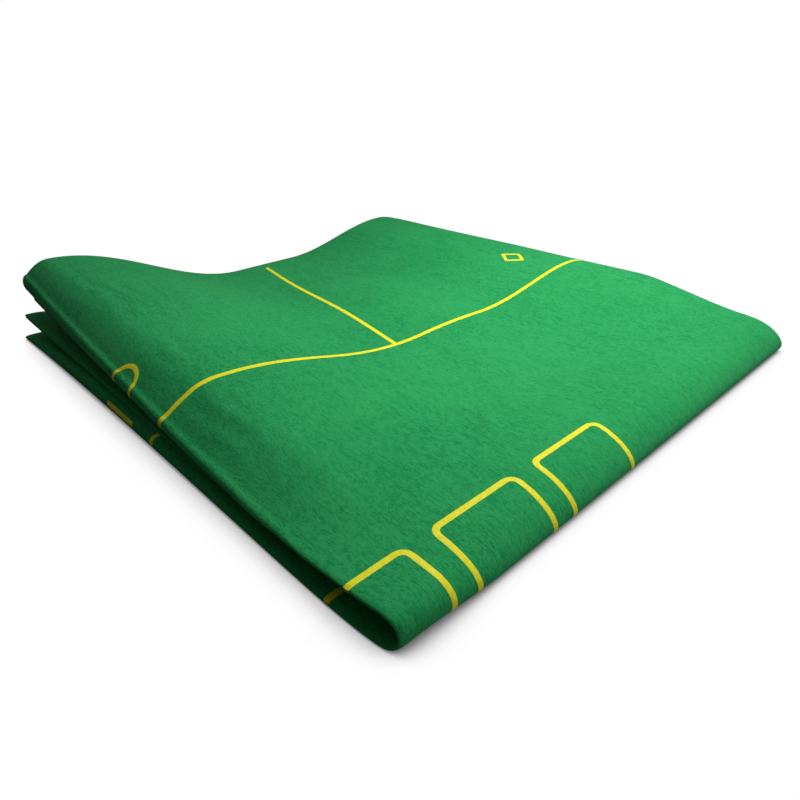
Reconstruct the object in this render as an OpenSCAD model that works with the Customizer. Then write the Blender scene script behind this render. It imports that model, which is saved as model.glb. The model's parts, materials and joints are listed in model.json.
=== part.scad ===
// Blackjack layout felt, folded into a packet.
// One sheet of needled felt is folded in half, in half again, then in half the other way,
// so it lies in eight layers. X runs along the last fold, the spine, which is at -Y.
// The centre fold is at -X, the quarter folds are at +X and the cut edges are at +Y.
// Panel 1 is on top and panel 8 lies on the table. The upper four layers open on the spine.

/* [Packet] */
// Length of the packet along the spine
pack_l = 460; // [300:1:600]
// Depth of the packet from the spine to the cut edges
pack_d = 476; // [300:1:600]
// Height of the spine over its outermost bend
spine_h = 23; // [17:0.5:30]

/* [Felt] */
// Thickness of the felt
felt_t = 1.4; // [1:0.1:2]
// Gap between layers that lie together
layer_gap = 0.3; // [0.3:0.05:0.5]
// How far the two inner bends stand back from the two outer ones
bend_setback = 8; // [4:1:14]
// How far the centre fold bulges past its panels
centre_bulge = 5; // [3:0.5:8]
// How far the outer quarter fold bulges past its panels
quarter_bulge = 6; // [5:0.5:9]

/* [Waves] */
// Height of the wave at the corner of centre fold and cut edges
corner_wave = 51; // [0:1:70]
// Height of the wave along the quarter folds
quarter_wave = 24; // [0:1:40]
// Height of the low swell in the middle
middle_wave = 9; // [0:1:14]
// Height of the top where the packet is pressed flattest
valley_h = 15; // [14.5:0.5:20]

/* [Print] */
// Width of every printed line
line_w = 3.8; // [2:0.2:6]
// Thickness of the ink film
ink_t = 0.2; // [0.1:0.05:0.4]
// Width of a betting box between the centres of its lines
box_w = 63.5; // [40:1:90]
// Gap between betting boxes
box_gap = 19; // [12:1:40]
// Distance from the spine to the long side of the betting boxes
box_reach = 32; // [28:1:70]
// Distance from the spine to the other long side, on the underside
box_under = 45; // [32:1:70]
// Distance from the spine to the long line
long_line_y = 211; // [120:1:260]
// How much nearer the spine the long line ends at the quarter folds
long_line_lean = 10; // [0:1:20]
// Place of the divider along the spine from the centre fold
divider_x = 197; // [120:1:300]
// Sideways lean of the divider between its two ends
divider_lean = 43; // [0:1:60]
// Size of the generic marks
mark_size = 26; // [14:1:36]
// Distance from the spine to the middle of the diamond mark
diamond_y = 254; // [230:1:400]
// Distance from the quarter folds to the middle of the diamond mark
diamond_in = 44; // [20:1:120]
// Distance from the spine to the middle of the ring mark
ring_y = 268; // [235:1:400]
// Distance from the spine to the middle of the bar on the lower centre fold
bar_y = 273; // [255:1:400]
// Length of that bar
bar_l = 40; // [10:1:50]

/* [Hidden] */

felt_green = "#1a8748";
ink_yellow = "#e6e114";
$fn = 96;

pitch = felt_t + layer_gap;
mid_z = spine_h / 2;
stack_h = 8 * felt_t + 7 * layer_gap;
valley = max(valley_h, stack_h + 1);
x_start = -pack_l / 2 + centre_bulge;
x_end = pack_l / 2 - quarter_bulge;
y_spine = -pack_d / 2;
y_bend = y_spine + mid_z;
y_flat = y_bend + bend_setback;
y_cut = pack_d / 2;
cells_x = 22;
cells_y = 16;
fold_steps = 10;
ink_lift = 0.15;
box_r = 7;
box_first = 3.3;

function lerp(a, b, f) = a + (b - a) * f;
function clamp01(v) = min(1, max(0, v));
function ease(v) = let (c = clamp01(v)) c * c * (3 - 2 * c);
// A hump of height 1 at 0 that is gone at 1 and at -1
function hump(v) = abs(v) >= 1 ? 0 : pow(cos(90 * v), 2);

// Place across the packet, 0 at the centre fold and 1 at the quarter folds
function across(x) = clamp01((x + pack_l / 2) / pack_l);
// Place into the packet, 0 beside the spine and 1 at the cut edges
function inward(y) = clamp01((y - y_flat) / (y_cut - y_flat));

// Height of the top face of the packet
function corner_hump(s, t) = let (c = 0.11 - 0.056 * t) hump((s - c) / (s < c ? 0.15 : 0.405));
function quarter_hump(s, t) = let (c = 0.963 - 0.046 * t) hump((s - c) / (s < c ? 0.305 : 0.2));
function middle_hump(s, t) = hump((s - 0.585) / 0.3) * hump((t - 0.525) / 0.35);
function top_z(x, y) = let (s = across(x), t = inward(y))
    lerp(spine_h, valley, ease(t / 0.22))
    + corner_wave * pow(t, 0.63) * ease(t / 0.2) * corner_hump(s, t)
    + quarter_wave * ease(t / 0.26) * quarter_hump(s, t)
    + middle_wave * middle_hump(s, t);

// Room over a tight stack, which the gaps between layers share
function room(x, y) = top_z(x, y) - stack_h - (spine_h - stack_h) * (1 - ease(inward(y) / 0.22));
function near_fold(x, reach) = exp(-max(0, x - x_start) / reach);
function gap_12(x, y) = let (t = inward(y))
    layer_gap + (0.42 - 0.12 * t) * room(x, y) * near_fold(x, 40) * ease(t / 0.2);
function gap_23(x, y) = layer_gap + 0.12 * room(x, y) * near_fold(x, 70) * inward(y);
function gap_67(x, y) = layer_gap + 0.36 * room(x, y) * near_fold(x, 60) * pow(inward(y), 4);
function gap_78(x, y) = layer_gap + 0.38 * room(x, y) * near_fold(x, 40) * max(0, sin(180 * inward(y)));

// Height of the top face of layer k
function face_z(k, x, y) =
    k == 1 ? top_z(x, y)
    : k == 2 ? face_z(1, x, y) - felt_t - gap_12(x, y)
    : k == 3 ? face_z(2, x, y) - felt_t - gap_23(x, y)
    : k == 4 ? face_z(3, x, y) - pitch
    : k == 5 ? face_z(6, x, y) + pitch
    : k == 6 ? face_z(7, x, y) + felt_t + gap_67(x, y)
    : k == 7 ? 2 * felt_t + gap_78(x, y)
    : felt_t;

function grid_x(i) = lerp(x_start, x_end, i / cells_x);
// Rows of a panel's grid. Outer panels have one row more, beside the spine, and share all the others.
function rows(y0) = y0 < y_flat ? cells_y + 1 : cells_y;
function grid_y(y0, j) =
    let (k = j - rows(y0) + cells_y) k < 0 ? y0 : lerp(y_flat, y_cut, k / cells_y);

// Closed solid through rings of points, all with the same number of points.
// The second half of a ring runs back along the first, so its ends close in strips.
module loft(rings) {
    n = len(rings[0]);
    m = len(rings);
    last = (m - 1) * n;
    polyhedron(
        points = [for (r = rings) each r],
        faces = concat(
            [for (i = [0:n / 2 - 2]) each [[i, i + 1, n - 2 - i], [i, n - 2 - i, n - 1 - i]]],
            [for (j = [0:m - 2], i = [0:n - 1])
                let (a = j * n + i, b = j * n + (i + 1) % n) each [[b, a, a + n], [b, a + n, b + n]]],
            [for (i = [0:n / 2 - 2])
                each [[last + i, last + n - 2 - i, last + i + 1], [last + i, last + n - 1 - i, last + n - 2 - i]]]
        ),
        convexity = 6
    );
}

// Panel k, whose top and bottom faces follow the waves
module panel(k, y0) {
    nx = cells_x + 1;
    last = rows(y0);
    ny = last + 1;
    top = [for (j = [0:last], i = [0:cells_x])
        let (x = grid_x(i), y = grid_y(y0, j)) [x, y, face_z(k, x, y)]];
    bottom = [for (p = top) [p.x, p.y, p.z - felt_t]];
    count = nx * ny;
    rim = concat(
        [for (i = [0:cells_x - 1]) i],
        [for (j = [0:last - 1]) cells_x + j * nx],
        [for (i = [cells_x:-1:1]) last * nx + i],
        [for (j = [last:-1:1]) j * nx]
    );
    polyhedron(
        points = concat(top, bottom),
        faces = concat(
            [for (j = [0:last - 1], i = [0:cells_x - 1])
                let (a = j * nx + i) each [[a, a + nx, a + 1], [a + 1, a + nx, a + nx + 1]]],
            [for (j = [0:last - 1], i = [0:cells_x - 1])
                let (a = count + j * nx + i) each [[a, a + 1, a + nx], [a + 1, a + nx + 1, a + nx]]],
            [for (i = [0:len(rim) - 1])
                let (a = rim[i], b = rim[(i + 1) % len(rim)]) each [[a, b, count + b], [a, count + b, count + a]]]
        ),
        convexity = 6
    );
}

// Points of a fold's outer or inner face, where layer a turns over into layer b at one y.
// The fold bulges past x_edge towards side. q runs from 90 on top to -90 underneath.
function fold_point(a, b, x_edge, side, bulge, y, q, lift = 0) =
    let (
        z_hi = face_z(a, x_edge, y),
        z_lo = face_z(b, x_edge, y) - felt_t
    )
    [
        x_edge + side * (bulge + lift) * cos(q),
        y,
        (z_hi + z_lo) / 2 + ((z_hi - z_lo) / 2 + lift) * sin(q)
    ];

// Puts a ring's points in the order that loft needs on the given side
function turned(ring, side) = side > 0 ? ring : [for (i = [len(ring) - 1:-1:0]) ring[i]];

module edge_fold(a, b, x_edge, side, bulge, y0) {
    turn = [for (i = [0:fold_steps]) 90 - 180 * i / fold_steps];
    back = [for (i = [fold_steps:-1:0]) turn[i]];
    color(felt_green)
        loft([for (j = [0:rows(y0)]) let (y = grid_y(y0, j))
            turned(concat(
                [for (q = turn) fold_point(a, b, x_edge, side, bulge, y, q)],
                [for (q = back) fold_point(a, b, x_edge, side, bulge, y, q, -felt_t)]
            ), side)]);
}

// Ink film over part of the centre fold, line_w wide about y, between the angles q_hi and q_lo
module centre_fold_ink(a, b, y, width, q_hi, q_lo) {
    turn = [for (i = [0:6]) lerp(q_hi, q_lo, i / 6)];
    back = [for (i = [6:-1:0]) turn[i]];
    color(ink_yellow)
        loft([for (side_y = [y - width / 2, y + width / 2])
            turned(concat(
                [for (q = turn) fold_point(a, b, x_start, -1, centre_bulge, side_y, q, ink_lift + ink_t)],
                [for (q = back) fold_point(a, b, x_start, -1, centre_bulge, side_y, q, ink_lift)]
            ), -1)]);
}

// Bend of one layer round the spine, above or below mid height, between two angles from the top
module bend_arc(r, wall, y, x0, x1, q_hi, q_lo) {
    reach = 2 * r;
    translate([x0, y, mid_z])
        rotate([90, 0, 90])
            linear_extrude(x1 - x0)
                intersection() {
                    difference() {
                        circle(r);
                        circle(r - wall);
                    }
                    polygon([
                        [0, 0],
                        [-reach * cos(q_hi), reach * sin(q_hi)],
                        [-reach * sqrt(2) * cos((q_hi + q_lo) / 2), reach * sqrt(2) * sin((q_hi + q_lo) / 2)],
                        [-reach * cos(q_lo), reach * sin(q_lo)]
                    ]);
                }
}

// The two outer bends are as long as the packet, and the two inner ones are as long as their panels
module spine_bend(k) {
    depth = k <= 4 ? k - 1 : 8 - k;
    inner = depth >= 2;
    color(felt_green)
        bend_arc(
            mid_z - depth * pitch, felt_t, inner ? y_flat : y_bend,
            inner ? x_start : -pack_l / 2, inner ? x_end : pack_l / 2,
            k <= 4 ? 90 : 0, k <= 4 ? 0 : -90
        );
}

// Height of panel k's own top face, whose cells are two flat triangles each
function laid_z(k, y0, x, y) =
    let (
        u = clamp01((x - x_start) / (x_end - x_start)) * cells_x,
        extra = rows(y0) - cells_y,
        v = y < y_flat
            ? clamp01((y - y0) / (y_flat - y0 + 0.001))
            : extra + clamp01((y - y_flat) / (y_cut - y_flat)) * cells_y,
        i = min(floor(u), cells_x - 1),
        j = min(floor(v), rows(y0) - 1)
    )
    let (
        fu = u - i,
        fv = v - j,
        right = face_z(k, grid_x(i + 1), grid_y(y0, j)),
        far = face_z(k, grid_x(i), grid_y(y0, j + 1)),
        near_corner = face_z(k, grid_x(i), grid_y(y0, j)),
        far_corner = face_z(k, grid_x(i + 1), grid_y(y0, j + 1))
    )
    fu + fv <= 1
        ? near_corner + fu * (right - near_corner) + fv * (far - near_corner)
        : far_corner + (1 - fu) * (far - far_corner) + (1 - fv) * (right - far_corner);

// Direction along a path at its point i
function heading(path, i) =
    let (d = path[min(i + 1, len(path) - 1)] - path[max(i - 1, 0)]) d / norm(d);

// Ink film along a path of [x, y] points on panel k
module ink_line(path, k = 1, y0 = y_bend, width = line_w) {
    color(ink_yellow)
        loft([for (i = [0:len(path) - 1])
            let (
                d = heading(path, i),
                side = [-d.y, d.x] * width / 2,
                left = path[i] + side,
                right = path[i] - side,
                z_left = laid_z(k, y0, left.x, left.y) + ink_lift,
                z_right = laid_z(k, y0, right.x, right.y) + ink_lift
            )
            [
                [left.x, left.y, z_left + ink_t], [right.x, right.y, z_right + ink_t],
                [right.x, right.y, z_right], [left.x, left.y, z_left]
            ]]);
}

// Straight path from a to b in n steps, and an arc path about c
function straight(a, b, n) = [for (i = [0:n]) lerp(a, b, i / n)];
function arc_path(c, r, q0, q1, n) = [for (i = [0:n]) let (q = lerp(q0, q1, i / n)) c + r * [cos(q), sin(q)]];

// Betting box i, counted from the one that the centre fold cuts in half
function box_start(i) = -pack_l / 2 + box_first + (i - 1) * (box_w + box_gap) - box_w / 2;
y_reach = y_spine + box_reach;
y_under = y_spine + box_under;
function box_path(x0, x1, cut) = concat(
    cut ? [[x_start, y_reach]] : concat(
        straight([x0, y_bend], [x0, y_reach - box_r], 3),
        arc_path([x0 + box_r, y_reach - box_r], box_r, 165, 90, 5)
    ),
    arc_path([x1 - box_r, y_reach - box_r], box_r, 90, 15, 5),
    straight([x1, y_reach - box_r], [x1, y_bend], 3)
);

module box_bends(i, q_hi, q_lo) {
    sides = i == 1 ? [box_start(i) + box_w] : [box_start(i), box_start(i) + box_w];
    color(ink_yellow)
        for (x = sides)
            bend_arc(mid_z + ink_lift + ink_t, ink_t, y_bend, x - line_w / 2, x + line_w / 2, q_hi, q_lo);
}

module box_upper(i) {
    ink_line(box_path(box_start(i), box_start(i) + box_w, i == 1));
    box_bends(i, 90, 0);
    if (i == 1) centre_fold_ink(1, 2, y_reach, line_w, 90, 0);
}

// The lower part of a box ends clear of the table
module box_lower(i) {
    box_bends(i, 0, -55);
    if (i == 1) centre_fold_ink(7, 8, y_under, line_w, 60, -55);
}

function long_line_at(x) = y_spine + long_line_y - long_line_lean * (x - x_start) / (x_end - x_start);
module long_line() {
    ink_line(straight([x_start, long_line_at(x_start)], [x_end, long_line_at(x_end)], 4 * cells_x));
    centre_fold_ink(1, 2, long_line_at(x_start), line_w, 90, 0);
}

module divider_line() {
    x = -pack_l / 2 + divider_x;
    y0 = long_line_at(x) + line_w / 2 + 1;
    ink_line(straight([x, y0], [x + divider_lean, y_cut - 14], 48));
}

// Outline of a playing-card diamond beside the quarter fold, in place of lettering
module diamond_mark() {
    c = [x_end - diamond_in, y_spine + diamond_y];
    corners = [c + [0, 0.5 * mark_size], c + [0.38 * mark_size, 0], c - [0, 0.5 * mark_size], c - [0.38 * mark_size, 0]];
    for (i = [0:3]) ink_line(straight(corners[i], corners[(i + 1) % 4], 6), width = 0.8 * line_w);
}

// Half of a plain ring that the centre fold cuts, in place of lettering
module ring_mark() {
    c = [x_start, y_spine + ring_y];
    ink_line(arc_path(c, 0.5 * mark_size, 88, -88, 14), width = 0.8 * line_w);
}

module panel_3_line() {
    y = y_cut - 30;
    ink_line([for (i = [0.125:0.125:3]) [grid_x(i), y]], 3, y_flat);
}

// Plain bar and the other end of the long line, on the lower centre fold
module centre_fold_marks() {
    centre_fold_ink(7, 8, y_spine + long_line_y + 14, line_w, 60, -55);
    centre_fold_ink(7, 8, y_spine + bar_y, bar_l, 50, 10);
}

module felt_panel(k) {
    color(felt_green) panel(k, k >= 3 && k <= 6 ? y_flat : y_bend);
}

// The bottom panel lies flat on the table
module bottom_panel() {
    color(felt_green) translate([x_start, y_bend, 0]) cube([x_end - x_start, y_cut - y_bend, felt_t]);
}

felt_panel(1);  // panel_1_top
felt_panel(2);  // panel_2
felt_panel(3);  // panel_3
felt_panel(4);  // panel_4
felt_panel(5);  // panel_5
felt_panel(6);  // panel_6
felt_panel(7);  // panel_7
bottom_panel();  // panel_8_bottom
edge_fold(1, 2, x_start, -1, centre_bulge, y_bend);  // centre_fold_upper
edge_fold(7, 8, x_start, -1, centre_bulge, y_bend);  // centre_fold_lower
edge_fold(1, 4, x_end, 1, quarter_bulge, y_flat);  // quarter_fold_outer_upper
edge_fold(2, 3, x_end, 1, quarter_bulge - pitch, y_flat);  // quarter_fold_inner_upper
edge_fold(5, 8, x_end, 1, quarter_bulge, y_flat);  // quarter_fold_outer_lower
edge_fold(6, 7, x_end, 1, quarter_bulge - pitch, y_flat);  // quarter_fold_inner_lower
spine_bend(1);  // spine_bend_1
spine_bend(2);  // spine_bend_2
spine_bend(3);  // spine_bend_3
spine_bend(4);  // spine_bend_4
spine_bend(5);  // spine_bend_5
spine_bend(6);  // spine_bend_6
spine_bend(7);  // spine_bend_7
spine_bend(8);  // spine_bend_8
box_upper(1);  // box_1_upper
box_lower(1);  // box_1_lower
box_upper(2);  // box_2_upper
box_lower(2);  // box_2_lower
box_upper(3);  // box_3_upper
box_lower(3);  // box_3_lower
long_line();
divider_line();
diamond_mark();
ring_mark();
panel_3_line();
centre_fold_marks();
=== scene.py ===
"""A blackjack layout felt folded into a packet: one sheet of needled felt with printed lines.

The sheet is one surface. u runs along the sheet's length through its four columns, and v across
its width with 0 on the spine, both in millimetres. place() folds a point of the flat sheet up
into the packet. The felt and its ink films are made with it, and each keeps its (u, v) place on the flat sheet.
"""
import json
import math

import bpy
import numpy as np
from mathutils import Matrix, Vector

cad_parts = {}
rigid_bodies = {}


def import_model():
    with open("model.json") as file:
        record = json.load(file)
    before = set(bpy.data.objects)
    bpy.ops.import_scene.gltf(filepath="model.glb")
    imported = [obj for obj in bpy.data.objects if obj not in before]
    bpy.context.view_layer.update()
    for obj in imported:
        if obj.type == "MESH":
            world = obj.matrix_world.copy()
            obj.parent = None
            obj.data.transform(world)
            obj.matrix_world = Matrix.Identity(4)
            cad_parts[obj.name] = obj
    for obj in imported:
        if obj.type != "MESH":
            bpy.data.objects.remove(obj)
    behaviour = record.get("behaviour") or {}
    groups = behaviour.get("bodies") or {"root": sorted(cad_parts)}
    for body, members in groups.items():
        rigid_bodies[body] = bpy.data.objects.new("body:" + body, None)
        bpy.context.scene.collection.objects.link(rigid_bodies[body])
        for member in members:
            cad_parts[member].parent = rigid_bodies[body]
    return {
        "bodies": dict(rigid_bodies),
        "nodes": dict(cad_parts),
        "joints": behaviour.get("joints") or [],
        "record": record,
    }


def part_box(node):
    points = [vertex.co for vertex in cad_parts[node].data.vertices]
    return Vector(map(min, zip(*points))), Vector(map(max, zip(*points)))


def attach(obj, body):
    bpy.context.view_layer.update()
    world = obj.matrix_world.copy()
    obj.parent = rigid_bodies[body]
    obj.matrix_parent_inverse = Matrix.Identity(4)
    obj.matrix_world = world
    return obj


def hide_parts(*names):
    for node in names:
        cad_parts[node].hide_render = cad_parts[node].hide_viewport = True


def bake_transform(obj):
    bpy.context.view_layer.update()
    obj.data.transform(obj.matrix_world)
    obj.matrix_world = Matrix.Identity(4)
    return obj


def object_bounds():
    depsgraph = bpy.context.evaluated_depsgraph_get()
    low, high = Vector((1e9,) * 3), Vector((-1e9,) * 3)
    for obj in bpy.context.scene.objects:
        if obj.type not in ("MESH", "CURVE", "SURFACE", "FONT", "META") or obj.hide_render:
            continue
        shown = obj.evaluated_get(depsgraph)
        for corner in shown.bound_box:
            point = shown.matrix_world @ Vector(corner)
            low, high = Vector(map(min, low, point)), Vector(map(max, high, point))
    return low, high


MM = 0.001

# ---------------------------------------------------------------- the packet, as the CAD has it
FELT_T = 1.4
LAYER_GAP = 0.3
PITCH = FELT_T + LAYER_GAP
BEND_SETBACK = 8.0
CENTRE_BULGE = 5.0
QUARTER_BULGE = 6.0
CORNER_WAVE = 51.0
QUARTER_WAVE = 24.0
MIDDLE_WAVE = 9.0
VALLEY_H = 15.0
LINE_W = 3.8
BOX_W = 63.5
BOX_GAP = 19.0
BOX_FIRST = 3.3
BOX_R = 5.5
LONG_LINE_Y = 211.0
LONG_LINE_LEAN = 10.0
DIVIDER_X = 197.0
DIVIDER_LEAN = 43.0
MARK = 26.0
DIAMOND_IN = 44.0
DIAMOND_Y = 16.0
RING_Y = 30.0
BAR_L = 40.0

# Waves of the top panel, in shares of the packet: across it from the centre fold, and in from the spine
CORNER_AT = 0.11
CORNER_LEAN = 0.056
CORNER_WIDTHS = (0.15, 0.405)
CORNER_RISE = 0.2
CORNER_POWER = 0.63
QUARTER_AT = 0.963
QUARTER_LEAN = 0.046
QUARTER_WIDTHS = (0.305, 0.2)
QUARTER_RISE = 0.26
MIDDLE_AT = (0.585, 0.525)
MIDDLE_WIDTHS = (0.3, 0.35)
VALLEY_FROM = 0.22

# ---------------------------------------------------------------- what only the sheet has
# The upper half leaves the spine on a longer, slumped bend
SLUMP_REACH = 30.0
SLUMP_Z = 4.5
SLUMP_ARC = 37.5
SLUMP_POWER = 1.18
SLUMP_FROM_CORNER = 70.0
LOWER_REACH = 7.0
LOWER_STEP = 0.8

# Sideways shifts: the near corner is tucked in, the cut edge pulled back, and inner layers drawn in
TUCK, TUCK_REACH, TUCK_POWER = 5.0, 18.0, 6
PULL_UPPER, PULL_UPPER_POWER = 9.0, 1.7
PULL_LOWER, PULL_LOWER_POWER, PULL_LOWER_FADE = -2.0, 3, 4
DRAWN_IN, DRAWN_IN_REACH, DRAWN_IN_POWER = 13.0, 90.0, 3

# The sheet's grid: steps in the flat felt, beside the centre fold, in the folds and along the spine
STEP_U = 5.5
STEP_U_FINE = 2.2
FINE_REACH = 90.0
STEP_U_FOLD = 1.0
STEP_V = 5.0
STEP_V_BEND = 1.3
EDGE_W = 0.5
EDGE_THINNED = 0.55

# The betting boxes' reach along the sheet, up and down from the spine
BOX_UP = 37.9
BOX_DOWN = 51.0

# An ink film: its thickness, its lift off the felt, places across its width, and how much of its thickness stands there
INK_T = 0.12
INK_LIFT = 0.03
INK_LANES = (0.5, 0.32, 0.0, -0.32, -0.5)
INK_RISE = (0.35, 1, 1, 1, 0.35)
INK_ROOT = 0.1
INK_STEP = 1.6

# Where the smaller marks lie and how wide their lines are
THIN_LINE = 0.8 * LINE_W
BAR_LINE = 0.7 * LINE_W
DIAMOND_ASPECT = 0.38
LONG_LINE_RUN_ON = 10
DIVIDER_END = 14
THIRD_LINE_IN = 30
THIRD_LINE_U = (3, 60)
CROSS_DOWN = 14
CROSS_U = (-9, 7)
BAR_SIDE = 1.5
BAR_DOWN = 28

# ---------------------------------------------------------------- the view and the colours
SENSOR = 36
LENS = 28.3
CAMERA_AT = (-0.3493, -0.3658, 0.2268)
CAMERA_PITCH = math.radians(29.24)
CAMERA_BEARING = math.radians(46.1)
SKY_SIDE = (-0.7, 0.3)
SKY_LIGHT = (0.03, 0.34)
SKY_SEEN = 1.0
FLOOR_REACH = 12
FLOOR_DROP = 0.0002
FLOOR_GREY = (0.22, 0.22, 0.22, 1)
SHADOW_REACH = 0.045
WHITE = (1, 1, 1, 1)
FELT_DEEP = (0.0040, 0.214, 0.056, 1)
FELT_GREEN = (0.0090, 0.300, 0.082, 1)
FELT_MATTED = (0.0026, 0.185, 0.048, 1)
FELT_PATCH = (0.020, 0.340, 0.088, 1)
FELT_FIBRE = (0.045, 0.420, 0.130, 1)
FELT_SHEEN = (0.55, 0.9, 0.62, 1)
INK_DULL = (0.76, 0.70, 0.004, 1)
INK_YELLOW = (0.90, 0.86, 0.008, 1)
INK_FIBRE = (0.92, 0.90, 0.03, 1)
INK_WORN = (0.16, 0.36, 0.02, 1)


def load_packet():
    """Loads the frame and returns it with the CAD's box, and the packet's sizes in millimetres."""
    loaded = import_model()
    low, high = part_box("spine_bend_1")
    top = high[2] / MM
    length = (high[0] - low[0]) / MM
    depth = -2 * low[1] / MM
    return loaded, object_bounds(), length, depth, top


frame, cad_box, PACK_L, PACK_D, SPINE_H = load_packet()
MID_Z = SPINE_H / 2
STACK_H = 8 * FELT_T + 7 * LAYER_GAP
X_START = -PACK_L / 2 + CENTRE_BULGE
X_END = PACK_L / 2 - QUARTER_BULGE
Y_SPINE = -PACK_D / 2
Y_BEND = Y_SPINE + MID_Z
Y_FLAT = Y_BEND + BEND_SETBACK
Y_CUT = PACK_D / 2
PANEL_W = X_END - X_START
REACH = Y_CUT - Y_BEND
BEND_ARC = math.pi / 2 * (MID_Z - FELT_T / 2)
SHEET_V = BEND_ARC + REACH

# Folds along u: arc length, layer depth before and after, side, and how far the felt's middle bulges
INNER = dict(arc=9.0, da=2, db=1, side=1, bulge=QUARTER_BULGE - PITCH - FELT_T / 2)
CENTRE = dict(arc=12.0, da=1, db=0, side=-1, bulge=CENTRE_BULGE - FELT_T / 2)
OUTER = dict(arc=14.0, da=0, db=3, side=1, bulge=QUARTER_BULGE - FELT_T / 2)
# Each column's layer depth, 0 outermost, and whether its u runs with x or against it
COLUMNS = [(2, 1), (1, -1), (0, 1), (3, -1)]
FOLDS = [INNER, CENTRE, OUTER]
SHEET_U = 4 * PANEL_W + sum(f["arc"] for f in FOLDS)
U_COLUMN = [0.0]
for fold in FOLDS:
    U_COLUMN.append(U_COLUMN[-1] + PANEL_W + fold["arc"])


def lerp(a, b, f):
    return a + (b - a) * f


def ease(v):
    """Smooth step from 0 to 1."""
    c = np.clip(v, 0, 1)
    return c * c * (3 - 2 * c)


def hump(v):
    """1 at 0, falling smoothly to 0 at 1 on either side."""
    return np.where(np.abs(v) >= 1, 0, np.cos(np.pi / 2 * np.clip(v, -1, 1)) ** 2)


def across(x):
    """Share of the way across the packet, from the centre fold."""
    return np.clip((x + PACK_L / 2) / PACK_L, 0, 1)


def inward(y):
    """Share of the way in from the spine, from where the panels leave its bends."""
    return np.clip((y - Y_FLAT) / (Y_CUT - Y_FLAT), 0, 1)


def top_z(x, y):
    """Height of the packet's top."""
    s, t = across(x), inward(y)
    crest = CORNER_AT - CORNER_LEAN * t
    corner = hump((s - crest) / np.where(s < crest, *CORNER_WIDTHS))
    crest = QUARTER_AT - QUARTER_LEAN * t
    quarter = hump((s - crest) / np.where(s < crest, *QUARTER_WIDTHS))
    middle = hump((s - MIDDLE_AT[0]) / MIDDLE_WIDTHS[0]) * hump((t - MIDDLE_AT[1]) / MIDDLE_WIDTHS[1])
    return (
        lerp(SPINE_H, VALLEY_H, ease(t / VALLEY_FROM))
        + CORNER_WAVE * t**CORNER_POWER * ease(t / CORNER_RISE) * corner
        + QUARTER_WAVE * ease(t / QUARTER_RISE) * quarter
        + MIDDLE_WAVE * middle
    )


def room(x, y):
    """Spare height in the stack, over what the layers need when they touch."""
    return top_z(x, y) - STACK_H - (SPINE_H - STACK_H) * (1 - ease(inward(y) / VALLEY_FROM))


def near_fold(x, reach):
    """1 at the centre fold, dying away over reach."""
    return np.exp(-np.maximum(0, x - X_START) / reach)


def layer_heights(x, y):
    """Heights of the middle of the felt in the eight layers, top first.

    Beside the centre fold the outer layers of each half part from the next, by shares of the spare height.
    """
    t, spare = inward(y), room(x, y)
    gap_12 = LAYER_GAP + (0.42 - 0.12 * t) * spare * near_fold(x, 40) * ease(t / 0.2)
    gap_23 = LAYER_GAP + 0.12 * spare * near_fold(x, 70) * t
    gap_67 = LAYER_GAP + 0.36 * spare * near_fold(x, 60) * t**4
    gap_78 = LAYER_GAP + 0.38 * spare * near_fold(x, 40) * np.sin(np.pi * t)
    one = top_z(x, y) - FELT_T / 2
    two = one - FELT_T - gap_12
    three = two - FELT_T - gap_23
    eight = np.full_like(one, FELT_T / 2)
    seven = eight + FELT_T + gap_78
    six = seven + FELT_T + gap_67
    return [one, two, three, three - PITCH, six + PITCH, six, seven, eight]


def crumple(x, y):
    """Small handling waves: ridges beside the centre fold, and a slow unevenness everywhere."""
    t, inside = inward(y), x - X_START
    ridge_h, edge_h, broad_h = 0.75, 0.3, 0.3
    band_at, band_sway, band_w = 26, 7, 15
    band = np.exp(-((inside - band_at - band_sway * np.sin(y / 61)) / band_w) ** 2)
    ridges = np.sin(inside / 2.6 + 2.2 * np.sin(y / 33 + 0.8) + 0.9 * np.sin(y / 11.5))
    patches = 0.55 + 0.45 * np.sin(y / 19 + 1.7 * np.sin(y / 47))
    near_edge = near_fold(x, 22) * np.sin(y / 8.5 + 1.5 * np.sin(y / 27))
    broad = np.sin(x / 37 + 2.0 * np.sin(y / 83)) * np.sin(y / 41 + 1.1)
    fade = ease(t / 0.1) * (1 - 0.75 * t)
    return fade * (ridge_h * band * patches * ridges + edge_h * near_edge) + broad_h * ease(t / 0.12) * broad


def layer_z(d, upper, x, y):
    """Height of the felt's middle at layer depth d, 0 outermost and 3 innermost, in one half."""
    heights = layer_heights(x, y)
    above = np.choose(d, heights[:4]) + crumple(x, y)
    below = np.choose(d, heights[:3:-1])
    return np.where(upper, above, below)


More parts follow.
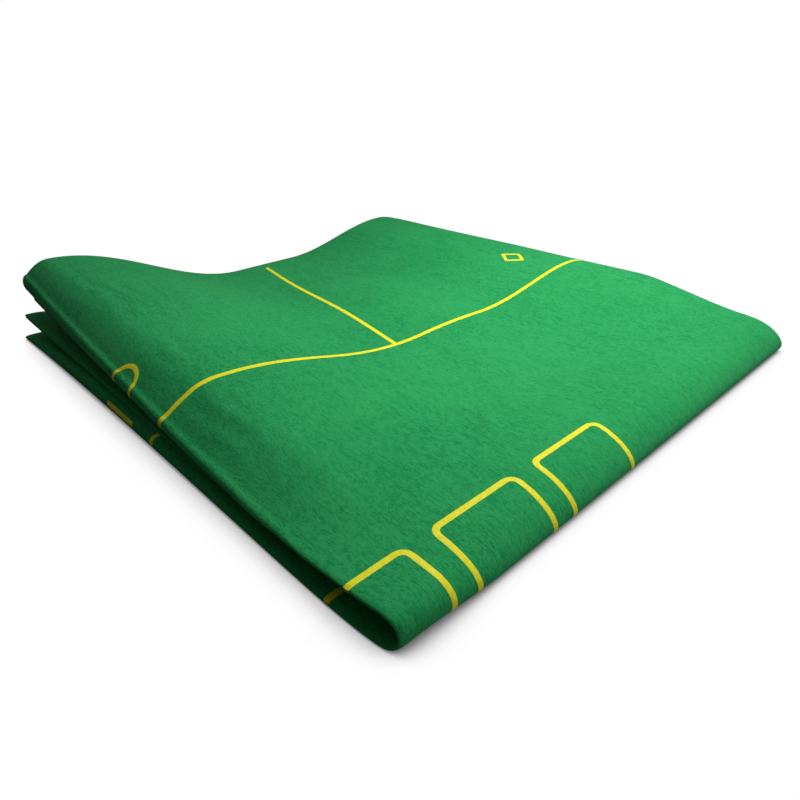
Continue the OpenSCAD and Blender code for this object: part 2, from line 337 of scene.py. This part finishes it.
def profile(u):
    """Folds u into x.

    Gives x, the x that heights are read at, the layer depths on a fold's two sides, and the share of the
    way between them. On a panel the two depths are the same.
    """
    near_zero = 1e-9
    x = np.empty_like(u)
    x_ref = np.empty_like(u)
    da = np.zeros(u.shape, int)
    db = np.zeros(u.shape, int)
    share = np.zeros_like(u)
    for i, (depth, way) in enumerate(COLUMNS):
        inside = (u >= U_COLUMN[i] - near_zero) & (u <= U_COLUMN[i] + PANEL_W + near_zero)
        f = np.clip((u - U_COLUMN[i]) / PANEL_W, 0, 1)
        here = X_START + PANEL_W * f if way > 0 else X_END - PANEL_W * f
        x[inside] = here[inside]
        x_ref[inside] = here[inside]
        da[inside] = depth
        db[inside] = depth
    for i, bend in enumerate(FOLDS):
        start = U_COLUMN[i] + PANEL_W
        inside = (u > start + near_zero) & (u < start + bend["arc"] - near_zero)
        q = np.pi * (u - start) / bend["arc"]
        edge = X_END if bend["side"] > 0 else X_START
        x[inside] = (edge + bend["side"] * bend["bulge"] * np.sin(q))[inside]
        x_ref[inside] = edge
        da[inside] = bend["da"]
        db[inside] = bend["db"]
        share[inside] = ((1 - np.cos(q)) / 2)[inside]
    return x, x_ref, da, db, share


def place(u, v):
    """Folds points of the flat sheet into the packet, and gives their places in millimetres."""
    u, v = np.broadcast_arrays(np.asarray(u, float), np.asarray(v, float))
    u = np.clip(u, 0, SHEET_U)
    x, x_ref, da, db, share = profile(u)
    d = lerp(da, db, share)
    upper = v >= 0
    w = np.abs(v)
    arc = np.where(upper, SLUMP_ARC, BEND_ARC)
    y_round, z_round, y_end = spine_curve(x_ref, d, upper, np.clip(w / arc, 0, 1))
    y_laid = y_end + (w - arc) / (SHEET_V - arc) * (Y_CUT - y_end)
    y_eval = np.maximum(y_laid, Y_BEND)
    z_laid = lerp(layer_z(da, upper, x_ref, y_eval), layer_z(db, upper, x_ref, y_eval), share)
    in_bend = w < arc
    y = np.where(in_bend, y_round, y_laid)
    z = np.where(in_bend, z_round, z_laid)
    s, t = across(x_ref), inward(y)
    from_spine = y - Y_SPINE
    tuck = TUCK * np.exp(-from_spine / TUCK_REACH) * (1 - s) ** TUCK_POWER
    pull_upper = PULL_UPPER * t**PULL_UPPER_POWER * (1 - s)
    pull_lower = PULL_LOWER * t**PULL_LOWER_POWER * (1 - s) ** PULL_LOWER_FADE
    pull = np.where(upper, pull_upper, pull_lower)
    drawn_in = DRAWN_IN * np.exp(-from_spine / DRAWN_IN_REACH) * (1 - s) ** DRAWN_IN_POWER * ease(d - 1)
    return np.stack([x + tuck + pull + drawn_in, y, z], axis=-1)


def even_steps(reach, rise, power):
    """Angles along a slumped bend, and how far along it each one is, from 0 to 1."""
    turn = np.linspace(0, np.pi / 2, 400)
    steps = np.hypot(np.diff(reach * (1 - np.cos(turn) ** power)), np.diff(rise * np.sin(turn) ** power))
    way = np.concatenate([[0], np.cumsum(steps)])
    return turn, way / way[-1]


SLUMP_TURN, SLUMP_WAY = even_steps(SLUMP_REACH, SPINE_H - SLUMP_Z, SLUMP_POWER)


def spine_curve(x, d, upper, f):
    """The felt's run round the spine: square-shouldered at the near corner, slumped along the rest.

    f is 0 on the outermost line of a layer and 1 where the bend ends.
    """
    slump = ease((x - X_START) / SLUMP_FROM_CORNER)
    set_back = d * PITCH + BEND_SETBACK * ease(d - 1)
    y_out = Y_SPINE + FELT_T / 2 + set_back
    z_flat = np.where(upper, SPINE_H - FELT_T / 2 - d * PITCH, FELT_T / 2 + d * PITCH)
    end = np.where(upper, SLUMP_REACH - set_back, lerp(MID_Z, LOWER_REACH, slump) - LOWER_STEP * d)

    # Round with its full height, then level until the bend ends
    way = f * np.where(upper, SLUMP_ARC, BEND_ARC)
    turn = np.clip(way / BEND_ARC, 0, 1) * np.pi / 2
    round_reach = np.minimum(MID_Z - d * PITCH, end)
    level = np.clip((way - BEND_ARC) / (SLUMP_ARC - BEND_ARC), 0, 1) * (end - round_reach)
    y_square = round_reach * (1 - np.cos(turn)) + level
    z_square = MID_Z + (z_flat - MID_Z) * np.sin(turn)

    # Leaning back and lower
    turn = np.where(upper, np.interp(f, SLUMP_WAY, SLUMP_TURN), f * np.pi / 2)
    power = np.where(upper, SLUMP_POWER, 1.0)
    y_slump = end * (1 - np.cos(turn) ** power)
    z_slump = SLUMP_Z + (z_flat - SLUMP_Z) * np.sin(turn) ** power
    return y_out + lerp(y_square, y_slump, slump), lerp(z_square, z_slump, slump), y_out + end


def skin(u, v, lift):
    """Points lift millimetres over the felt's middle, towards its printed face."""
    step = 0.15
    along = place(u + step, v) - place(u - step, v)
    over = place(u, v + step) - place(u, v - step)
    normal = np.cross(along, over)
    normal /= np.linalg.norm(normal, axis=-1, keepdims=True)
    return place(u, v) + normal * lift


# ---------------------------------------------------------------- meshes
def mesh_object(name, verts, flat, faces, material):
    """A mesh whose points also keep their place on the flat sheet, which its material reads."""
    mesh = bpy.data.meshes.new(name)
    mesh.from_pydata((np.asarray(verts) * MM).tolist(), [], faces)
    mesh.validate()
    places = np.zeros((len(verts), 3), np.float32)
    places[:, :2] = flat.reshape(-1, 2) * MM
    mesh.attributes.new("flat_place", "FLOAT_VECTOR", "POINT").data.foreach_set("vector", places.ravel())
    made = bpy.data.objects.new(name, mesh)
    bpy.context.scene.collection.objects.link(made)
    mesh.materials.append(material)
    mesh.shade_smooth()
    mesh.set_sharp_from_angle(angle=math.radians(50))
    return made


def slab(rows, cols):
    """Faces of a closed slab: a grid of rows x cols points on top, then the same below."""
    n = rows * cols
    faces = []
    for j in range(rows - 1):
        for i in range(cols - 1):
            a = j * cols + i
            faces.append((a, a + 1, a + cols + 1, a + cols))
            faces.append((n + a, n + a + cols, n + a + cols + 1, n + a + 1))
    rim = list(range(cols))
    rim += [j * cols + cols - 1 for j in range(1, rows)]
    rim += [(rows - 1) * cols + i for i in range(cols - 2, -1, -1)]
    rim += [j * cols for j in range(rows - 2, 0, -1)]
    for a, b in zip(rim, rim[1:] + rim[:1]):
        faces.append((b, a, n + a, n + b))
    return faces


def bend_at_spine(piece):
    """Bakes the piece's transform into its mesh."""
    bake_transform(piece)


def spaced(a, b, step):
    return np.linspace(a, b, max(2, int(round(abs(b - a) / step)) + 1))


def felt_sheet(material):
    """The whole sheet, with a closer grid in its bends and for FINE_REACH from the centre fold."""
    us = []
    for i, (_, way) in enumerate(COLUMNS):
        u0, u1 = U_COLUMN[i], U_COLUMN[i] + PANEL_W
        near, far = (u0, u0 + FINE_REACH) if way > 0 else (u1 - FINE_REACH, u1)
        steps = [spaced(u0, near, STEP_U), spaced(near, far, STEP_U_FINE), spaced(far, u1, STEP_U)]
        us.append(np.unique(np.concatenate(steps)))
        if i < len(FOLDS):
            us.append(spaced(u1, U_COLUMN[i + 1], STEP_U_FOLD)[1:-1])
    half = np.concatenate([spaced(0, SLUMP_ARC, STEP_V_BEND), spaced(SLUMP_ARC, SHEET_V, STEP_V)[1:]])
    us = np.concatenate([[0, EDGE_W], np.concatenate(us)[1:-1], [SHEET_U - EDGE_W, SHEET_U]])
    half = np.concatenate([half[:-1], [SHEET_V - EDGE_W, SHEET_V]])
    vs = np.concatenate([-half[:0:-1], half])
    grid_u, grid_v = np.meshgrid(us, vs)
    lift = np.full(grid_u.shape, FELT_T / 2)
    lift[[0, -1], :] = lift[:, [0, -1]] = EDGE_THINNED * FELT_T / 2
    top = skin(grid_u, grid_v, lift[..., None]).reshape(-1, 3)
    under = skin(grid_u, grid_v, -lift[..., None]).reshape(-1, 3)
    flat = np.tile(np.stack([grid_u, grid_v], axis=-1).reshape(-1, 2), (2, 1))
    sheet = mesh_object("felt_sheet", np.concatenate([top, under]), flat, slab(len(vs), len(us)), material)
    bend_at_spine(sheet)
    return sheet


def ink_strip(name, path, material, width=LINE_W, closed=False):
    """Ink film along a path of (u, v) points on the printed face. Gives it and its points' v."""
    path = resample(np.asarray(path, float), INK_STEP, closed)
    if closed:
        ahead, behind = np.roll(path, -1, 0), np.roll(path, 1, 0)
    else:
        ahead = np.concatenate([path[1:], path[-1:]])
        behind = np.concatenate([path[:1], path[:-1]])
    way = ahead - behind
    way /= np.linalg.norm(way, axis=1, keepdims=True)
    side = np.stack([-way[:, 1], way[:, 0]], axis=1)
    lanes = np.array(INK_LANES) * width
    points = path[:, None, :] + side[:, None, :] * lanes[None, :, None]
    film = FELT_T / 2 + INK_LIFT + INK_T * np.array(INK_RISE)
    top = skin(points[..., 0], points[..., 1], 0)
    over = skin(points[..., 0], points[..., 1], 1) - top
    base = top + over * (FELT_T / 2 - INK_ROOT)
    top = top + over * film[None, :, None]
    rows, cols = len(path), len(lanes)
    if closed:
        top, base, points = (np.concatenate([a, a[:1]]) for a in (top, base, points))
        rows += 1
    faces = slab(rows, cols)
    verts = np.concatenate([base.reshape(-1, 3), top.reshape(-1, 3)])
    flat = np.tile(points.reshape(-1, 2), (2, 1))
    return mesh_object(name, verts, flat, faces, material), flat[:, 1]


def resample(path, gap, closed):
    """The same path with points about gap apart."""
    if closed:
        path = np.concatenate([path, path[:1]])
    seg = np.linalg.norm(np.diff(path, axis=0), axis=1)
    dist = np.concatenate([[0], np.cumsum(seg)])
    at = np.linspace(0, dist[-1], max(3, int(dist[-1] / gap) + 1))
    out = np.stack([np.interp(at, dist, path[:, 0]), np.interp(at, dist, path[:, 1])], axis=1)
    return out[:-1] if closed else out


# ---------------------------------------------------------------- camera, lights, floor
def socket(node, name, value):
    node.inputs[name].default_value = value


def put(name, data, position, way):
    """Adds a camera or light at a position, looking along a way."""
    made = bpy.data.objects.new(name, data)
    bpy.context.scene.collection.objects.link(made)
    turned = way.to_track_quat("-Z", "Y").to_matrix().to_4x4()
    made.matrix_world = Matrix.Translation(Vector(position)) @ turned
    return made


def camera():
    data = bpy.data.cameras.new("camera")
    data.sensor_width = SENSOR
    data.lens = LENS
    level = math.cos(CAMERA_PITCH)
    forward = Vector((math.cos(CAMERA_BEARING) * level, math.sin(CAMERA_BEARING) * level, -math.sin(CAMERA_PITCH)))
    bpy.context.scene.camera = put("camera", data, CAMERA_AT, forward)


def soft_light(name, position, size, power, aim=(0, 0, 0)):
    data = bpy.data.lights.new(name, "AREA")
    data.shape = "DISK"
    data.size = size
    data.energy = power
    put(name, data, position, Vector(aim) - Vector(position))


def studio():
    """A white floor and sky under soft light. The camera sees them brighter than they light the felt, and sees a
    contact shadow painted on the floor from ambient occlusion.
    """
    bpy.context.scene.view_settings.view_transform = "Standard"
    world = bpy.data.worlds.new("studio")
    bpy.context.scene.world = world
    world.use_nodes = True
    tree = world.node_tree
    background = tree.nodes["Background"]
    socket(background, "Color", WHITE)
    way = tree.nodes.new("ShaderNodeSeparateXYZ")
    tree.links.new(tree.nodes.new("ShaderNodeTexCoord").outputs["Generated"], way.inputs[0])
    side = tree.nodes.new("ShaderNodeMapRange")
    for name, number in zip(("From Min", "From Max", "To Min", "To Max"), SKY_SIDE + SKY_LIGHT):
        socket(side, name, number)
    tree.links.new(way.outputs["X"], side.inputs["Value"])
    strength = tree.nodes.new("ShaderNodeMapRange")
    socket(strength, "To Max", SKY_SEEN)
    tree.links.new(tree.nodes.new("ShaderNodeLightPath").outputs["Is Camera Ray"], strength.inputs["Value"])
    tree.links.new(side.outputs["Result"], strength.inputs["To Min"])
    tree.links.new(strength.outputs["Result"], background.inputs["Strength"])
    soft_light("key", (0.15, -0.11, 0.46), size=0.30, power=2.6, aim=(0.12, -0.09, 0))
    soft_light("fill", (0.6, -1.2, 0.6), size=0.8, power=3.0)

    material = Nodes("floor")
    # Painted shadow: the floor's glow, which the camera sees, is dimmed by ambient occlusion near the felt
    open_sky_for_painted_shadow = material.add("AmbientOcclusion", Distance=SHADOW_REACH).outputs["AO"]
    glow_with_painted_shadow = material.add("Emission", Strength=material.ramp(open_sky_for_painted_shadow, 0.2, 0.85, 0.1, 1.0)).outputs["Emission"]
    matt = material.add("BsdfDiffuse", Color=FLOOR_GREY).outputs["BSDF"]
    mixed = material.tree.nodes.new("ShaderNodeMixShader")
    for i, value in enumerate((material.add("LightPath").outputs["Is Camera Ray"], matt, glow_with_painted_shadow)):
        material.feed(mixed, i, value)
    material.tree.links.new(mixed.outputs[0], material.tree.nodes["Material Output"].inputs["Surface"])
    mesh = bpy.data.meshes.new("floor")
    signs = ((-1, -1), (1, -1), (1, 1), (-1, 1))
    mesh.from_pydata([(FLOOR_REACH * i, FLOOR_REACH * j, 0) for i, j in signs], [], [(0, 1, 2, 3)])
    mesh.materials.append(material.material)
    floor = bpy.data.objects.new("floor", mesh)
    floor.location.z = -FLOOR_DROP
    bpy.context.scene.collection.objects.link(floor)


# ---------------------------------------------------------------- materials
class Nodes:
    """Builds a material's nodes with few words."""

    def __init__(self, name):
        self.material = bpy.data.materials.new(name)
        self.material.use_nodes = True
        self.tree = self.material.node_tree
        self.shader = self.tree.nodes["Principled BSDF"]

    def add(self, kind, **inputs):
        node = self.tree.nodes.new("ShaderNode" + kind)
        for name, value in inputs.items():
            self.feed(node, name.replace("_", " "), value)
        return node

    def feed(self, node, name, value):
        """Links a socket, or sets a plain value, at an input's name or number."""
        if isinstance(value, bpy.types.NodeSocket):
            self.tree.links.new(value, node.inputs[name])
        else:
            node.inputs[name].default_value = value

    def flat(self, stretch=(1, 1, 1), turn=0.0):
        """Place on the flat sheet in metres, turned and stretched."""
        place = self.add("Attribute")
        place.attribute_name = "flat_place"
        turned = self.add("Mapping", Vector=place.outputs["Vector"], Rotation=(0, 0, turn), Scale=stretch)
        return turned.outputs["Vector"]

    def noise(self, vector, scale, detail=3.0, rough=0.6, bent=0.0):
        settings = dict(Scale=scale, Detail=detail, Roughness=rough, Distortion=bent)
        return self.add("TexNoise", Vector=vector, **settings).outputs["Fac"]

    def ramp(self, value, low, high, to_low=0.0, to_high=1.0):
        node = self.add("MapRange", Value=value)
        for name, number in (("From Min", low), ("From Max", high), ("To Min", to_low), ("To Max", to_high)):
            self.feed(node, name, number)
        node.interpolation_type = "SMOOTHSTEP"
        return node.outputs["Result"]

    def calc(self, kind, a, b):
        node = self.add("Math")
        node.operation = kind
        for i, value in enumerate((a, b)):
            self.feed(node, i, value)
        return node.outputs[0]

    def mix(self, share, a, b):
        """Colour a, or b where share is 1. The numbers are the Mix node's colour sockets."""
        node = self.add("Mix")
        node.data_type = "RGBA"
        for i, value in ((0, share), (6, a), (7, b)):
            self.feed(node, i, value)
        return node.outputs[2]

    def ridge(self, value, width):
        """1 where a noise crosses its middle, so it draws thin wandering lines."""
        off = self.calc("ABSOLUTE", self.calc("SUBTRACT", value, 0.5), 0.0)
        return self.ramp(off, 0.0, width, 1.0, 0.0)

    def fibres(self):
        """Thin curled lines of loose fibre, lying three ways over each other."""
        total = None
        for turn, scale in ((0.3, 210), (1.45, 165), (2.5, 270)):
            curls = self.noise(self.flat((1, 0.3, 1), turn), scale, detail=2.0, rough=0.5, bent=1.6)
            lines = self.ridge(curls, 0.06)
            total = lines if total is None else self.calc("MAXIMUM", total, lines)
        return total

    def ground(self):
        """The needled felt's own fine grain."""
        return self.noise(self.flat(), 420, detail=4.0, rough=0.7, bent=0.8)

    def bump(self, height, strength, distance):
        return self.add("Bump", Height=height, Strength=strength, Distance=distance).outputs["Normal"]


def felt_material():
    """Needled felt: curled fibres, a matted ground, slow patches of tone and a soft nap."""
    n = Nodes("felt")
    fibres = n.fibres()
    ground = n.ground()
    matted = n.noise(n.flat((1, 0.45, 1), 0.6), 70, detail=4.0, rough=0.65, bent=1.6)
    patches = n.noise(n.flat(), 11, detail=3.0, rough=0.55, bent=0.6)
    colour = n.mix(n.ramp(ground, 0.32, 0.68), FELT_DEEP, FELT_GREEN)
    colour = n.mix(n.ramp(matted, 0.40, 0.75, 0.0, 0.5), colour, FELT_MATTED)
    colour = n.mix(n.ramp(patches, 0.35, 0.7, 0.0, 0.35), colour, FELT_PATCH)
    colour = n.mix(n.calc("MULTIPLY", fibres, 0.42), colour, FELT_FIBRE)
    grain = n.calc("ADD", ground, n.calc("MULTIPLY", matted, 1.2))
    height = n.calc("ADD", n.calc("MULTIPLY", fibres, 0.5), grain)
    n.feed(n.shader, "Base Color", colour)
    n.feed(n.shader, "Roughness", n.ramp(ground, 0.3, 0.7, 0.97, 0.82))
    n.feed(n.shader, "Specular IOR Level", 0.12)
    n.feed(n.shader, "Sheen Weight", 0.06)
    n.feed(n.shader, "Sheen Roughness", 0.45)
    n.feed(n.shader, "Sheen Tint", FELT_SHEEN)
    n.feed(n.shader, "Normal", n.bump(height, 0.4, 0.00035))
    return n.material


def ink_material():
    """Screen ink on felt: nearly solid, with the fibres under it and small pinholes of green."""
    n = Nodes("print")
    fibres = n.fibres()
    ground = n.ground()
    worn = n.noise(n.flat(), 240, detail=5.0, rough=0.75, bent=0.5)
    colour = n.mix(n.ramp(ground, 0.35, 0.7), INK_DULL, INK_YELLOW)
    colour = n.mix(n.calc("MULTIPLY", fibres, 0.25), colour, INK_FIBRE)
    colour = n.mix(n.ramp(worn, 0.66, 0.74, 0.0, 0.8), colour, INK_WORN)
    height = n.calc("ADD", n.calc("MULTIPLY", fibres, 0.4), n.calc("ADD", ground, worn))
    n.feed(n.shader, "Base Color", colour)
    n.feed(n.shader, "Roughness", n.ramp(worn, 0.3, 0.75, 0.5, 0.85))
    n.feed(n.shader, "Specular IOR Level", 0.35)
    n.feed(n.shader, "Normal", n.bump(height, 0.4, 0.0003))
    return n.material


# ---------------------------------------------------------------- print
U_CENTRE = U_COLUMN[1] + PANEL_W + CENTRE["arc"] / 2


def on_top(x, y):
    """(u, v) of a place on the top panel, in the packet's x and y."""
    y_end = Y_SPINE + FELT_T / 2 + SLUMP_REACH
    return (U_COLUMN[2] + x - X_START, SLUMP_ARC + (y - y_end) * (SHEET_V - SLUMP_ARC) / (Y_CUT - y_end))


def long_line_at(x):
    """The long line's y at a place across the packet."""
    return Y_SPINE + LONG_LINE_Y - LONG_LINE_LEAN * (x - X_START) / PANEL_W


def arc_points(cx, cy, r, q0, q1, n=8):
    """n points of an arc, between two angles in degrees."""
    turns = [math.radians(q) for q in np.linspace(q0, q1, n)]
    return [(cx + r * math.cos(q), cy + r * math.sin(q)) for q in turns]


def box_outline(i):
    """Betting box i, which lies across the spine. The centre fold runs through the middle of box 1."""
    x1 = -PACK_L / 2 + BOX_FIRST + (i - 1) * (BOX_W + BOX_GAP) + BOX_W / 2
    u1, _ = on_top(x1, 0)
    u0 = u1 - BOX_W
    if i == 1:
        u0 = 2 * U_CENTRE - u1
    near, far = BOX_R - BOX_DOWN, BOX_UP - BOX_R
    left, right = u0 + BOX_R, u1 - BOX_R
    corners = [(right, far, 0), (left, far, 90), (left, near, 180), (right, near, 270)]
    return [p for cx, cy, q in corners for p in arc_points(cx, cy, BOX_R, q, q + 90)]


def replace_felt():
    """The sheet stands for every panel, fold and bend, and not for the print that is named after one."""
    felt = ("panel_", "centre_fold_", "quarter_fold_", "spine_bend_")
    printed = ("panel_3_line", "centre_fold_marks")
    nodes = [n for n in frame["nodes"] if n.startswith(felt) and n not in printed]
    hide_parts(*nodes)


def ink(name, path, nodes, body=None, **how):
    """One ink film, which rides on a body or, without one, keeps the bend over the spine that it was shaped with."""
    strip, v = ink_strip(name, path, INK, **how)
    if body:
        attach(strip, body)
    else:
        bend_at_spine(strip)
    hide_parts(*nodes)
    return strip


camera()
studio()
FELT = felt_material()
INK = ink_material()
sheet = felt_sheet(FELT)
replace_felt()

for i in (1, 2, 3):
    ink(f"box_{i}_ink", box_outline(i), [f"box_{i}_upper", f"box_{i}_lower"], closed=True)
u_from, v_from = on_top(X_START, long_line_at(X_START))
long_line = [(u_from - LONG_LINE_RUN_ON, v_from), on_top(X_END, long_line_at(X_END))]
ink("long_line_ink", long_line, ["long_line"], "upper_half")
x_div = -PACK_L / 2 + DIVIDER_X
divider = [on_top(x_div, long_line_at(x_div)), on_top(x_div + DIVIDER_LEAN, Y_CUT - DIVIDER_END)]
ink("divider_ink", divider, ["divider_line"], "upper_half")
cx, cy = X_END - DIAMOND_IN, DIAMOND_Y
half_w, half_h = DIAMOND_ASPECT * MARK, MARK / 2
diamond = [on_top(cx, cy + half_h), on_top(cx + half_w, cy), on_top(cx, cy - half_h), on_top(cx - half_w, cy)]
ink("diamond_ink", diamond, ["diamond_mark"], "upper_half", closed=True, width=THIN_LINE)
ring = arc_points(U_CENTRE, on_top(0, RING_Y)[1], MARK / 2, 0, 360, 40)[:-1]
ink("ring_ink", ring, ["ring_mark"], "upper_half", closed=True, width=THIN_LINE)
third = [(u, SHEET_V - THIRD_LINE_IN) for u in THIRD_LINE_U]
ink("panel_3_line_ink", third, ["panel_3_line"], "upper_half")
v_cross = -v_from - CROSS_DOWN
cross = [(U_CENTRE + u, v_cross) for u in CROSS_U]
ink("fold_mark_ink", cross, ["centre_fold_marks"], "lower_half")
u_bar, v_bar = U_CENTRE - BAR_SIDE, v_cross - BAR_DOWN
bar = [(u_bar, v_bar), (u_bar, v_bar - BAR_L)]
ink("fold_bar_ink", bar, ["centre_fold_marks"], "lower_half", width=BAR_LINE)
